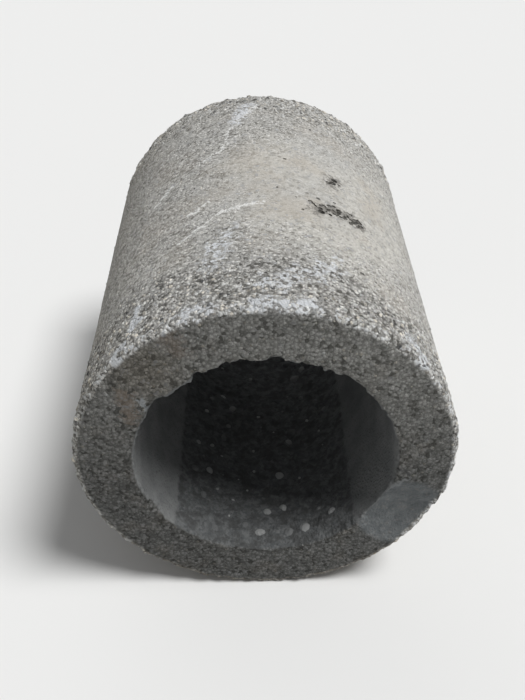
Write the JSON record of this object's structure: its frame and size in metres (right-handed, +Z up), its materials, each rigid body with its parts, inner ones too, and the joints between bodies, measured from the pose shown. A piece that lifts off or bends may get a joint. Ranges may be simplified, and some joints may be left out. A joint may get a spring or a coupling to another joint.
{
  "type": "concrete sewer pipe",
  "caption": "Thick-walled, plain-ended concrete sewer pipe cast in one piece, lying on its side, with weathered, spalled ends.",
  "frame": {"origin": "on the bore's axis at mid-length", "axes": "+Y along the bore's axis towards the far end, +Z up, and the pipe lies on its side"},
  "size_m": [0.8, 1, 0.8],
  "materials": {
    "concrete": "rough cast concrete, weathered, with scuffs and void pits"
  },
  "bodies": {
    "root": {"pipe": "concrete"}
  },
  "joints": []
}
